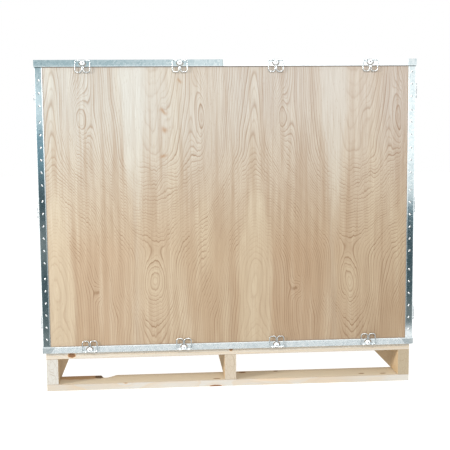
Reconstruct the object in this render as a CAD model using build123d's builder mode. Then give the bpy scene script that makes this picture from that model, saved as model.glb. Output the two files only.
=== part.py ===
"""Knock-down plywood shipping crate with galvanised edging and wire clips, on a
two-way stringer pallet.  Millimetres, +Z up, the front faces -Y, the origin is
the middle of the footprint at floor level."""
import math
import os

from build123d import *

os.makedirs("parts", exist_ok=True)

# ---------------------------------------------------------------- driving sizes
PALLET_W = 1219.0          # left to right
PALLET_D = 1016.0          # front to back
BOTTOM_T = 22.0            # bottom boards
STRINGER_H = 86.0
STRINGER_T = 38.0
DECK_T = 22.0              # top deck boards
BOARD_W = 96.0             # every pallet board
DECK_Z = BOTTOM_T + STRINGER_H + DECK_T        # 130, top of the pallet

PLY = 6.0                  # plywood sheet
STEEL = 0.8                # galvanised sheet
PANEL_W = 1234.4           # outside of the plywood walls, left to right
PANEL_D = 1031.4           # outside of the plywood walls, front to back
BOX_H = 952.0              # base edging to lid top
TOP_Z = DECK_Z + BOX_H     # 1082
FLANGE_H = 21.5            # height of the lid and base bands
LEG_W = 24.0               # flat leg of the lid and base edging
FLANGE_IN = 1.4            # plywood face to inside of a band
FLANGE_OUT = FLANGE_IN + STEEL
HEM_H = 3.0
HEM_T = 0.5
STRIP_W = 25.0             # upright edge strips
RETURN_W = FLANGE_H        # return of an upright strip round the corner
SEAM_A = -16.0             # joint between the two lengths of long lid edging
SEAM_GAP = 1.2

WALL_Z0 = DECK_Z + STEEL               # walls stand on the base edging's leg
WALL_Z1 = TOP_Z - STEEL - PLY          # and carry the lid sheet

WIRE_R = 1.6               # spring wire
WIRE_W = 2.75              # wire centre in front of the steel
CLIP_HALF = 23.9           # wire centre, half width of a clip
BOSS_R = 9.0
BOSS_H = 6.0               # height of a boss
BOSS_TO_LIP = 12.2         # boss centre to the free edge of the steel
EAR_U = 15.0               # saddles that hold a clip's bar

TOP_SITES = (-465.0, -155.0, 155.0, 465.0)       # along the long sides
SIDE_SITES = (-310.0, 0.0, 310.0)                # along the short sides
CORNER_SITES = (DECK_Z + 108.0, DECK_Z + 472.0, DECK_Z + 850.0)

HX, HY = PANEL_W / 2, PANEL_D / 2


# ------------------------------------------------------------------ face planes
def face(side, out, a=0.0, b=0.0):
    """Plane on a wall: local x runs to the right as seen from outside, local y
    is up, local z is outwards.  out is measured from the plywood face."""
    if side == "front":
        return Plane(origin=(a, -HY - out, b), x_dir=(1, 0, 0), z_dir=(0, -1, 0))
    if side == "back":
        return Plane(origin=(-a, HY + out, b), x_dir=(-1, 0, 0), z_dir=(0, 1, 0))
    if side == "left":
        return Plane(origin=(-HX - out, -a, b), x_dir=(0, -1, 0), z_dir=(-1, 0, 0))
    return Plane(origin=(HX + out, a, b), x_dir=(0, 1, 0), z_dir=(1, 0, 0))


def turned(plane, angle):
    """The same plane with its local x and y turned in their own plane."""
    c, s = math.cos(math.radians(angle)), math.sin(math.radians(angle))
    x, y = plane.x_dir, plane.y_dir
    return Plane(origin=plane.origin, x_dir=x * c + y * s, z_dir=plane.z_dir)


# ------------------------------------------------- pressed boss, slot and saddle
# Local frame of a clip site: origin at the boss centre on the steel's outer
# face, +Y towards the clip's loops, +Z outwards, X along the crate's edge.
def make_boss():
    ro = (8.4 ** 2 + BOSS_H ** 2) / (2 * BOSS_H)      # dome on an 8.4 radius
    zc = BOSS_H - ro

    def zo(r):
        return math.sqrt(ro * ro - r * r) + zc

    with BuildPart() as b:
        with BuildSketch(Plane.XZ):
            with BuildLine():
                Line((1.7, -STEEL), (BOSS_R, -STEEL))
                Line((BOSS_R, -STEEL), (BOSS_R, 0))
                Line((BOSS_R, 0), (8.4, 0))
                ThreePointArc((8.4, 0), (5.4, zo(5.4)), (1.7, zo(1.7)))
                Line((1.7, zo(1.7)), (1.7, -STEEL))
            make_face()
        revolve(axis=Axis.Z)
    return b.part


def make_slot():
    """What is punched away around the free half of a boss and at its lip."""
    with BuildPart() as b:
        with BuildSketch(Plane.XY.offset(-STEEL - 0.2)):
            Circle(12.4)
            with Locations((0, -20)):
                Rectangle(60, 40, mode=Mode.SUBTRACT)
            Circle(1.7)
            with Locations((0, 12)):
                Rectangle(9.2, 8)
        extrude(amount=STEEL + 0.2 + 2.0)
    return b.part


def make_groove():
    """Seat of a clip's bar across the rim of a boss."""
    with BuildPart() as b:
        with BuildSketch(Plane.YZ.offset(-11.0)):
            with Locations((BOSS_TO_LIP - FLANGE_H + WIRE_W, WIRE_W)):
                Circle(WIRE_R + 0.35)
        extrude(amount=22.0)
    return b.part


def make_ears():
    """Two saddles pressed round the bar of a clip."""
    with BuildPart() as b:
        for u in (-EAR_U, EAR_U):
            with BuildSketch(Plane.YZ.offset(u - 2.0)):
                with Locations((0, WIRE_W)):
                    Circle(WIRE_W)
                with Locations((0, WIRE_W / 2 - 0.2)):
                    Rectangle(2 * WIRE_W, WIRE_W + 0.4)
                with Locations((0, WIRE_W)):
                    Circle(WIRE_R + 0.35, mode=Mode.SUBTRACT)
            extrude(amount=4.0)
    return b.part


BOSS = make_boss()
SLOT = make_slot()
GROOVE = make_groove()
EARS = make_ears()


# ------------------------------------------------------------------ wire clips
def rounded(points, radii):
    """Lines and arcs of a polyline whose inner corners are rounded."""
    segs, prev = [], Vector(*points[0])
    for i in range(1, len(points) - 1):
        a, p, b = (Vector(*points[i - 1]), Vector(*points[i]), Vector(*points[i + 1]))
        d1, d2 = (a - p).normalized(), (b - p).normalized()
        half = math.acos(max(-1.0, min(1.0, d1.dot(d2)))) / 2
        r = radii[i - 1]
        t = r / math.tan(half)
        s, e = p + d1 * t, p + d2 * t
        mid = p + (d1 + d2).normalized() * (r / math.sin(half) - r)
        segs.append(("line", prev, s))
        segs.append(("arc", s, mid, e))
        prev = e
    segs.append(("line", prev, Vector(*points[-1])))
    return segs


def wire(points, radii):
    start, nxt = Vector(*points[0]), Vector(*points[1])
    with BuildPart() as w:
        with BuildLine():
            for seg in rounded(points, radii):
                if seg[0] == "line":
                    if (seg[2] - seg[1]).length > 1e-6:
                        Line(seg[1], seg[2])
                else:
                    ThreePointArc(seg[1], seg[2], seg[3])
        with BuildSketch(Plane(origin=start, z_dir=(nxt - start).normalized())):
            Circle(WIRE_R)
        sweep()
    return w.part


def clip_half(tip_w):
    y_tip, y_loop = BOSS_TO_LIP - 1.0, BOSS_TO_LIP + 17.9
    pts = [(2.2, y_tip, tip_w), (2.2, y_tip, WIRE_W), (2.2, y_loop, WIRE_W),
           (CLIP_HALF, y_loop, WIRE_W)]
    return pts, [2.2, 8.0, 8.0]


def mirrored(pts, radii):
    """The whole wire from its right half, which ends on the bar's right end."""
    other = [(-x, y, z) for (x, y, z) in reversed(pts)]
    return pts + other, radii + list(reversed(radii))


def make_band_clip():
    """Clip whose bar lies along a lid or base edge."""
    pts, rad = clip_half(-FLANGE_OUT + 0.5)
    pts.append((CLIP_HALF, BOSS_TO_LIP - FLANGE_H + WIRE_W, WIRE_W))
    rad.append(4.0)
    pts, rad = mirrored(pts, rad)
    return wire(pts, rad)


def make_corner_clip():
    """The same clip on an upright corner, whose sheet lies flat on the wall."""
    pts, rad = clip_half(-0.4)
    pts.append((CLIP_HALF, BOSS_TO_LIP - RETURN_W + WIRE_W, WIRE_W))
    rad.append(4.0)
    pts, rad = mirrored(pts, rad)
    return wire(pts, rad)


BAND_CLIP = make_band_clip()
CORNER_CLIP = make_corner_clip()


# --------------------------------------------------------------- clip site planes
def top_site(side, a):
    """Local +Y points down, towards the loops."""
    z = TOP_Z - FLANGE_H + BOSS_TO_LIP
    return turned(face(side, FLANGE_OUT, a, z), 180)


def base_site(side, a):
    z = DECK_Z + FLANGE_H - BOSS_TO_LIP
    return face(side, FLANGE_OUT, a, z)


def corner_site(side, left, z):
    """On the return that an upright strip of the front or back wall has on a side
    wall.  left is as seen from outside; local +Y points to the middle of the wall."""
    a = (-1 if left else 1) * (HY + STEEL - RETURN_W + BOSS_TO_LIP)
    return turned(face(side, STEEL, a, z), -90 if left else 90)


def band_ear_plane(site):
    """Saddles of a band clip, at the bar."""
    o = site.origin + site.y_dir * (BOSS_TO_LIP - FLANGE_H + WIRE_W)
    return Plane(origin=o, x_dir=site.x_dir, z_dir=site.z_dir)


# ------------------------------------------------------------------------ teeth
# Each tooth is punched out of the sheet: a slanted slot, a blade bent 4.5 mm into
# the plywood along one side of it, and a pressed ridge beside it.
SLOT_L, SLOT_WD, SLOT_OFF = 6.4, 2.6, -1.8
BLADE_L, BLADE_IN, BLADE_OFF = 5.0, 4.5, -0.9
RIDGE_R, RIDGE_L, RIDGE_OFF, RIDGE_H = 2.3, 3.8, 1.0, 1.0


def tooth_place(a, b, slant, hand, off):
    """Place of a tooth's feature, off to one side of its middle."""
    c, s = math.cos(math.radians(slant)), math.sin(math.radians(slant))
    return Location((a + hand * off * c, b + hand * off * s, 0), (0, 0, 90 + slant))


def tooth_sketch(sites, what):
    """Adds one outline per (a, b, slant, hand) to the sketch that is open."""
    for a, b, slant, hand in sites:
        if what == "slot":
            with Locations(tooth_place(a, b, slant, hand, SLOT_OFF)):
                SlotOverall(SLOT_L, SLOT_WD)
        else:
            with Locations(tooth_place(a, b, slant, hand, BLADE_OFF)):
                Rectangle(BLADE_L, STEEL)


def make_ridge():
    """Round-ended ridge along X that stands RIDGE_H proud of the XY plane."""
    with BuildPart() as r:
        with BuildSketch(Plane.XZ):
            with Locations((0, RIDGE_H - RIDGE_R)):
                SlotOverall(RIDGE_L + 2 * RIDGE_R, 2 * RIDGE_R)
            with Locations((0, RIDGE_H - 2 * RIDGE_R)):
                Rectangle(40, 2 * RIDGE_R, mode=Mode.SUBTRACT)
        revolve(axis=Axis((0, 0, RIDGE_H - RIDGE_R), (1, 0, 0)))
        with Locations((0, 0, -10 - STEEL * 0.8)):
            Box(40, 40, 20, mode=Mode.SUBTRACT)
    return r.part


RIDGE = make_ridge()


def cut_blades(plane, sites):
    """Pockets in plywood that a strip's teeth fill; plane is the sheet's face."""
    with BuildSketch(plane) as sk:
        tooth_sketch(sites, "blade")
    extrude(sk.sketch, amount=-BLADE_IN, mode=Mode.SUBTRACT)


def add_teeth(plane, sites):
    """Teeth of a strip whose plywood side lies on plane."""
    for a, b, slant, hand in sites:
        place = Location(plane.offset(STEEL)) * tooth_place(a, b, slant, hand, RIDGE_OFF)
        add(RIDGE.moved(place))
    with BuildSketch(plane) as slots:
        tooth_sketch(sites, "slot")
    extrude(slots.sketch, amount=STEEL + RIDGE_H, mode=Mode.SUBTRACT)
    with BuildSketch(plane.offset(-BLADE_IN)) as blades:
        tooth_sketch(sites, "blade")
    extrude(blades.sketch, amount=BLADE_IN + STEEL * 0.9)


SLANT = 32.0
STRIP_MID = STRIP_W / 2 + 1.0
# heights of the teeth above the deck, in threes that lean the same way
LEFT_TEETH = [(46.0, 1), (86.5, 1), (127.0, 1), (168.0, -1), (208.5, -1), (249.0, -1),
              (299.5, 1), (340.0, 1), (380.5, 1), (421.5, -1), (462.0, -1), (502.5, -1),
              (553.0, 1), (593.5, 1), (634.0, 1), (675.0, -1), (715.5, -1), (756.0, -1),
              (806.5, 1), (847.0, 1), (887.5, 1)]
RIGHT_TEETH = [(51.0, -1), (91.5, -1), (132.0, -1), (175.0, 1), (215.5, 1), (256.0, 1),
               (318.0, -1), (358.5, -1), (399.0, -1), (441.0, 1), (481.5, 1), (522.0, 1),
               (580.5, -1), (621.5, -1), (662.0, -1), (704.0, 1), (744.5, 1), (785.0, 1),
               (830.5, -1), (871.0, -1), (911.0, -1)]


def clear_of_clips(z, reach):
    return all(abs(z - c) > reach for c in CORNER_SITES)


def front_strip_teeth(left):
    """(a, b, slant, hand) on the front or back wall, seen from outside."""
    hand = 1 if left else -1
    a = -hand * (HX + STEEL - STRIP_MID)
    rows = LEFT_TEETH if left else RIGHT_TEETH
    return [(a, DECK_Z + h, s * SLANT, hand) for h, s in rows]


SIDE_IN = HY - PLY                      # side plywood reaches this far in y
SIDE_STRIP_0 = HY + STEEL - RETURN_W - 0.2      # outer edge of a side strip


def side_strip_teeth(left):
    hand = 1 if left else -1
    a = -hand * (SIDE_STRIP_0 - STRIP_W / 2 + 1.0)
    rows = LEFT_TEETH if left else RIGHT_TEETH
    return [(a, DECK_Z + h, s * SLANT, hand) for h, s in rows
            if clear_of_clips(DECK_Z + h, 32.0)]


def lid_teeth(side):
    """(x, y, slant, hand) on the lid's top leg, in the row's own x and y."""
    long_side = side in ("front", "back")
    half = (HX if long_side else HY) - 60.0
    n = int(round(2 * half / 42.0))
    out = (HY if long_side else HX) + FLANGE_OUT - 13.0
    sites = []
    for i in range(n + 1):
        t = -half + 2 * half * i / n
        lean = SLANT if (i // 3) % 2 else -SLANT
        if side == "front":
            sites.append((t, -out, 90 + lean, 1))
        elif side == "back":
            sites.append((t, out, 90 + lean, -1))
        elif side == "left":
            sites.append((-out, t, lean, 1))
        else:
            sites.append((out, t, lean, -1))
    return sites


# ------------------------------------------------------------------------ nails
NAIL_R, NAIL_L, NAIL_HEAD_R, NAIL_HEAD_T = 1.7, 55.0, 3.8, 1.4


def make_nail():
    """Head up, the head's top at the origin."""
    with BuildPart() as n:
        with BuildSketch(Plane.XY):
            Circle(NAIL_HEAD_R)
        extrude(amount=-NAIL_HEAD_T)
        with BuildSketch(Plane.XY):
            Circle(NAIL_R)
        extrude(amount=-(NAIL_L - 4.0))
        with BuildSketch(Plane.XY.offset(-(NAIL_L - 4.0))):
            Circle(NAIL_R)
        extrude(amount=-4.0, taper=20)
    return n.part


NAIL = make_nail()
STRINGER_X = (-(PALLET_W - STRINGER_T) / 2, 0.0, (PALLET_W - STRINGER_T) / 2)
N_DECK = 7
DECK_Y = [-(PALLET_D - BOARD_W) / 2 + i * (PALLET_D - BOARD_W) / (N_DECK - 1)
          for i in range(N_DECK)]
BOTTOM_Y = [-(PALLET_D - BOARD_W) / 2, 0.0, (PALLET_D - BOARD_W) / 2]

deck_nails = [(sx + dx, y + dy) for sx in STRINGER_X for y in DECK_Y
              for dx, dy in ((-8.0, -27.0), (8.0, 27.0))]
bottom_nails = [(sx + dx, y + dy) for sx in STRINGER_X for y in BOTTOM_Y
                for dx, dy in ((8.0, -24.0), (-8.0, 24.0))]
floor_nails = [(sx + dx, y) for sx, dx in zip(STRINGER_X, (9.0, -9.0, -9.0))
               for y in (DECK_Y[0] + 8.0, DECK_Y[2], DECK_Y[4], DECK_Y[6] - 8.0)]
FLOOR_TOP = WALL_Z0 + PLY


def nail_places():
    for x, y in deck_nails:
        yield Location((x, y, DECK_Z))
    for x, y in floor_nails:
        yield Location((x, y, FLOOR_TOP))
    for x, y in bottom_nails:
        yield Location((x, y, 0), (180, 0, 0))


def punch_nails(box, places):
    """Takes the nails that reach into the part being built out of it."""
    x0, x1, y0, y1, z0, z1 = box
    for loc in places:
        p = loc.position
        zz = (p.Z - NAIL_L, p.Z) if abs(loc.orientation.X) < 1 else (p.Z, p.Z + NAIL_L)
        if x0 <= p.X <= x1 and y0 <= p.Y <= y1 and zz[1] > z0 and zz[0] < z1:
            add(NAIL.moved(loc), mode=Mode.SUBTRACT)


NAILS = list(nail_places())


def save(builder, name):
    shape = builder.part
    shape.label = name
    export_step(shape, "parts/" + name + ".step")


def save_solid(shape, name):
    shape.label = name
    export_step(shape, "parts/" + name + ".step")


# ----------------------------------------------------------------------- pallet
def slab(x0, x1, y0, y1, z0, z1, nailed=True):
    with BuildPart() as s:
        with BuildSketch(Plane.XY.offset(z0)):
            with Locations(((x0 + x1) / 2, (y0 + y1) / 2)):
                Rectangle(x1 - x0, y1 - y0)
        extrude(amount=z1 - z0)
        if nailed:
            punch_nails((x0, x1, y0, y1, z0, z1), NAILS)
    return s


for tag, sx in zip(("left", "centre", "right"), STRINGER_X):
    stringer = slab(sx - STRINGER_T / 2, sx + STRINGER_T / 2, -PALLET_D / 2, PALLET_D / 2,
                    BOTTOM_T, BOTTOM_T + STRINGER_H)
    save(stringer, "pallet_stringer_" + tag)

for i, y in enumerate(DECK_Y, 1):
    board = slab(-PALLET_W / 2, PALLET_W / 2, y - BOARD_W / 2, y + BOARD_W / 2,
                 DECK_Z - DECK_T, DECK_Z)
    save(board, "pallet_deck_board_%d" % i)

# bark edge left on the rear of the front bottom board, at its knot
WANE = [(-446, -396), (-438, -411), (-433, -425), (-430, -436), (-424, -441), (-414, -440),
        (-405, -433), (-396, -424), (-388, -415), (-381, -411), (-372, -396)]
for tag, y in zip(("front", "middle", "back"), BOTTOM_Y):
    board = slab(-PALLET_W / 2, PALLET_W / 2, y - BOARD_W / 2, y + BOARD_W / 2,
                 0, BOTTOM_T)
    if tag == "front":
        with board:
            with BuildSketch(Plane.XY.offset(BOTTOM_T + 0.5)) as bark:
                with BuildLine():
                    Polyline(*WANE, close=True)
                make_face()
            extrude(bark.sketch, amount=BOTTOM_T + 2.0, dir=(0, 0.45, -1),
                    mode=Mode.SUBTRACT)
    save(board, "pallet_bottom_board_" + tag)

with BuildPart() as pallet_nails:
    for loc in NAILS:
        add(NAIL.moved(loc))
save(pallet_nails, "pallet_nails")

# ------------------------------------------------------------- floor of the crate
base_floor_panel = slab(-(HX - PLY), HX - PLY, -(HY - PLY), HY - PLY, WALL_Z0, FLOOR_TOP)
save(base_floor_panel, "base_floor_panel")

OX, OY = HX + FLANGE_OUT, HY + FLANGE_OUT       # outside of the bands
TAB = 27.0                                      # side edging wraps this far round


def leg_outline(side):
    """Flat leg of a band's edging with mitred ends."""
    xi, yi = OX - LEG_W, OY - LEG_W
    if side == "front":
        return [(-OX, -OY), (OX, -OY), (xi, -yi), (-xi, -yi)]
    if side == "back":
        return [(-OX, OY), (-xi, yi), (xi, yi), (OX, OY)]
    if side == "left":
        return [(-OX, -OY), (-xi, -yi), (-xi, yi), (-OX, OY)]
    return [(OX, -OY), (OX, OY), (xi, yi), (xi, -yi)]


def band(side, leg_z, flange_z0, hem_low, sites, mitre, teeth=None):
    """One length of lid or base edging: a flat leg, a flange with a hem along
    its free edge, bosses with their slots, and saddles for the clips' bars.
    The side lengths also wrap round both corners."""
    long_side = side in ("front", "back")
    half = (OX if long_side else OY)
    hem_z = flange_z0 if hem_low else flange_z0 + FLANGE_H - HEM_H
    with BuildPart() as e:
        with BuildSketch(Plane.XY.offset(leg_z)):
            with BuildLine():
                Polyline(*leg_outline(side), close=True)
            make_face()
        extrude(amount=STEEL)

        def strip_on(where, a0, a1, z0, z1, w0, w1, cut=0.0):
            with BuildSketch(face(where, w0)) as sk:
                with BuildLine():
                    # cut slants the ends that meet at a corner tab
                    Polyline((a0 + (cut if cut > 0 else 0), z0),
                             (a1 - (cut if cut > 0 else 0), z0),
                             (a1 + (cut if cut < 0 else 0), z1),
                             (a0 - (cut if cut < 0 else 0), z1), close=True)
                make_face()
            extrude(sk.sketch, amount=w1 - w0)

        if long_side:
            a = half - TAB
            # room for the tabs of the side lengths
            with BuildSketch(face(side, FLANGE_IN)) as room:
                for m in (-1, 1):
                    with Locations((m * (OX - TAB / 2), leg_z)):
                        Rectangle(TAB, 8)
            extrude(room.sketch, amount=STEEL + 0.5, mode=Mode.SUBTRACT)
            strip_on(side, -a, a, flange_z0, flange_z0 + FLANGE_H, FLANGE_IN, FLANGE_OUT,
                     cut=mitre)
            strip_on(side, -a + abs(mitre), a - abs(mitre), hem_z, hem_z + HEM_H,
                     FLANGE_OUT, FLANGE_OUT + HEM_T)
        else:
            strip_on(side, -half, half, flange_z0, flange_z0 + FLANGE_H,
                     FLANGE_IN, FLANGE_OUT)
            strip_on(side, -half + 1.0, half - 1.0, hem_z, hem_z + HEM_H,
                     FLANGE_OUT, FLANGE_OUT + HEM_T)
            for where in ("front", "back"):
                near = (side == "left") == (where == "front")
                a0, a1 = (-OX, -(OX - TAB + 0.3)) if near else (OX - TAB + 0.3, OX)
                with BuildSketch(face(where, FLANGE_IN)):
                    with BuildLine():
                        z0, z1 = flange_z0, flange_z0 + FLANGE_H
                        m = mitre
                        if near:
                            Polyline((a0, z0), (a1 + (m if m > 0 else 0), z0),
                                     (a1 - (m if m < 0 else 0), z1), (a0, z1), close=True)
                        else:
                            Polyline((a0 - (m if m > 0 else 0), z0), (a1, z0), (a1, z1),
                                     (a0 + (m if m < 0 else 0), z1), close=True)
                    make_face()
                extrude(amount=STEEL)
        for site in sites:
            add(SLOT.moved(Location(site)), mode=Mode.SUBTRACT)
            add(BOSS.moved(Location(site)))
            add(GROOVE.moved(Location(site)), mode=Mode.SUBTRACT)
            add(EARS.moved(Location(band_ear_plane(site))))
        if teeth:
            add_teeth(*teeth)
    return e


SITES = {"front": TOP_SITES, "back": TOP_SITES, "left": SIDE_SITES, "right": SIDE_SITES}
for side in ("front", "back", "left", "right"):
    base_edge = band(side, DECK_Z, DECK_Z, False,
                     [base_site(side, a) for a in SITES[side]], mitre=-14.0)
    save(base_edge, "base_edge_" + side)

# ------------------------------------------------------------------------ walls
for side in ("front", "back"):
    teeth = front_strip_teeth(True) + front_strip_teeth(False)
    sgn = -1 if side == "front" else 1
    with BuildPart() as wall:
        with BuildSketch(face(side, -PLY)):
            with Locations((0, (WALL_Z0 + WALL_Z1) / 2)):
                Rectangle(PANEL_W, WALL_Z1 - WALL_Z0)
        extrude(amount=PLY)
        cut_blades(face(side, 0), teeth)
    save(wall, side + "_panel")

for side in ("left", "right"):
    teeth = side_strip_teeth(True) + side_strip_teeth(False)
    with BuildPart() as wall:
        with BuildSketch(face(side, -PLY)):
            with Locations((0, (WALL_Z0 + WALL_Z1) / 2)):
                Rectangle(2 * SIDE_IN, WALL_Z1 - WALL_Z0)
        extrude(amount=PLY)
        cut_blades(face(side, 0), teeth)
    save(wall, side + "_panel")

# upright edging of the front and back walls: a toothed leg on the wall's face, and
# a return that laps round the corner onto the side wall and carries the clips
for side in ("front", "back"):
    for left in (True, False):
        hand = -1 if left else 1
        flip = 1 if side == "front" else -1
        xo, yo = HX + STEEL, HY + STEEL
        sy = -1 if side == "front" else 1
        sx = hand * flip
        wall_side = "left" if sx < 0 else "right"
        wall_left = (sx < 0) == (sy > 0)
        with BuildPart() as strip:
            with BuildSketch(Plane.XY.offset(WALL_Z0 + 0.6)) as sk:
                with BuildLine():
                    Polyline((sx * xo, sy * yo), (sx * (xo - STRIP_W), sy * yo),
                             (sx * (xo - STRIP_W), sy * (yo - STEEL)),
                             (sx * (xo - STEEL), sy * (yo - STEEL)),
                             (sx * (xo - STEEL), sy * (yo - RETURN_W)),
                             (sx * xo, sy * (yo - RETURN_W)), close=True)
                make_face()
            extrude(amount=WALL_Z1 - WALL_Z0 - 1.2)
            # the bend is rounded outside
            corner = [e for e in strip.edges().filter_by(Axis.Z)
                      if abs(e.center().X - sx * xo) < 0.01 and abs(e.center().Y - sy * yo) < 0.01]
            fillet(corner, 0.75)
            for z in CORNER_SITES:
                site = corner_site(wall_side, wall_left, z)
                add(SLOT.moved(Location(site)), mode=Mode.SUBTRACT)
                add(BOSS.moved(Location(site)))
                add(GROOVE.moved(Location(site)), mode=Mode.SUBTRACT)
                add(EARS.moved(Location(band_ear_plane(site))))
            add_teeth(face(side, 0), front_strip_teeth(left))
        where = {("front", True): "left", ("front", False): "right",
                 ("back", True): "right", ("back", False): "left"}[(side, left)]
        save(strip, "%s_panel_edge_%s" % (side, where))

# upright edging of the side walls: flat strips, notched for the corner clips' tips
for side in ("left", "right"):
    for left in (True, False):
        hand = -1 if left else 1
        with BuildPart() as strip:
            with BuildSketch(face(side, 0)):
                with Locations((hand * (SIDE_STRIP_0 - STRIP_W / 2), (WALL_Z0 + WALL_Z1) / 2)):
                    Rectangle(STRIP_W, WALL_Z1 - WALL_Z0 - 1.2)
            extrude(amount=STEEL)
            for z in CORNER_SITES:
                add(SLOT.moved(Location(corner_site(side, left, z))), mode=Mode.SUBTRACT)
            add_teeth(face(side, 0), side_strip_teeth(left))
        where = {("left", True): "back", ("left", False): "front",
                 ("right", True): "front", ("right", False): "back"}[(side, left)]
        save(strip, "%s_panel_edge_%s" % (side, where))

# -------------------------------------------------------------------------- lid
LX, LY = HX + FLANGE_IN, HY + FLANGE_IN
lid_rows = {side: lid_teeth(side) for side in ("front", "back", "left", "right")}
with BuildPart() as lid_panel:
    with BuildSketch(Plane.XY.offset(WALL_Z1)):
        Rectangle(2 * LX, 2 * LY)
    extrude(amount=PLY)
    cut_blades(Plane.XY.offset(WALL_Z1 + PLY),
               [s for rows in lid_rows.values() for s in rows])
save(lid_panel, "lid_panel")

for side in ("front", "back", "left", "right"):
    lid_edge = band(side, TOP_Z - STEEL, TOP_Z - FLANGE_H, True,
                    [top_site(side, a) for a in SITES[side]], mitre=0.0,
                    teeth=(Plane.XY.offset(WALL_Z1 + PLY), lid_rows[side]))
    if side in ("left", "right"):
        save(lid_edge, "lid_edge_" + side)
        continue
    # the long edging is two lengths that meet near the middle
    seam = SEAM_A if side == "front" else -SEAM_A
    for tag, m in (("left", -1), ("right", 1)):
        with BuildPart() as length:
            add(lid_edge.part)
            with Locations((seam + m * (500 + SEAM_GAP / 2), 0, TOP_Z)):
                Box(1000, 2000, 200, mode=Mode.INTERSECT)
        save(length, "lid_edge_%s_%s" % (side, tag))

# ------------------------------------------------------------------------ clips
def clip_group(places, shape, name):
    with BuildPart() as g:
        for p in places:
            add(shape.moved(Location(p)))
    save(g, name)


for i, a in enumerate(TOP_SITES, 1):
    clip_group([top_site("front", a)], BAND_CLIP, "front_lid_clip_%d" % i)
    clip_group([base_site("front", a)], BAND_CLIP, "front_base_clip_%d" % i)
for tag, left in (("left", False), ("right", True)):
    for i, z in enumerate(CORNER_SITES, 1):
        clip_group([corner_site(tag, left, z)], CORNER_CLIP,
                   "front_%s_corner_clip_%d" % (tag, i))
    clip_group([corner_site(tag, not left, z) for z in CORNER_SITES], CORNER_CLIP,
               "back_%s_corner_clips" % tag)
for side in ("back", "left", "right"):
    clip_group([top_site(side, a) for a in SITES[side]], BAND_CLIP, side + "_lid_clips")
    clip_group([base_site(side, a) for a in SITES[side]], BAND_CLIP, side + "_base_clips")
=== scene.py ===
"""Looks of the knock-down plywood shipping crate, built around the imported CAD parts."""
import math

import bpy
from mathutils import Matrix, Vector

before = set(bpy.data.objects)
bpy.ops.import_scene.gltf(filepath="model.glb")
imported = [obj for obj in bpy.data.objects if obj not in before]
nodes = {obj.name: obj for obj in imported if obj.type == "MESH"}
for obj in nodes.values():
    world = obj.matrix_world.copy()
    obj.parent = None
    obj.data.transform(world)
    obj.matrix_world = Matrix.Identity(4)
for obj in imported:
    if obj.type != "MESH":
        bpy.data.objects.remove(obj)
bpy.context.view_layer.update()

PI2 = 2 * math.pi


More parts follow.
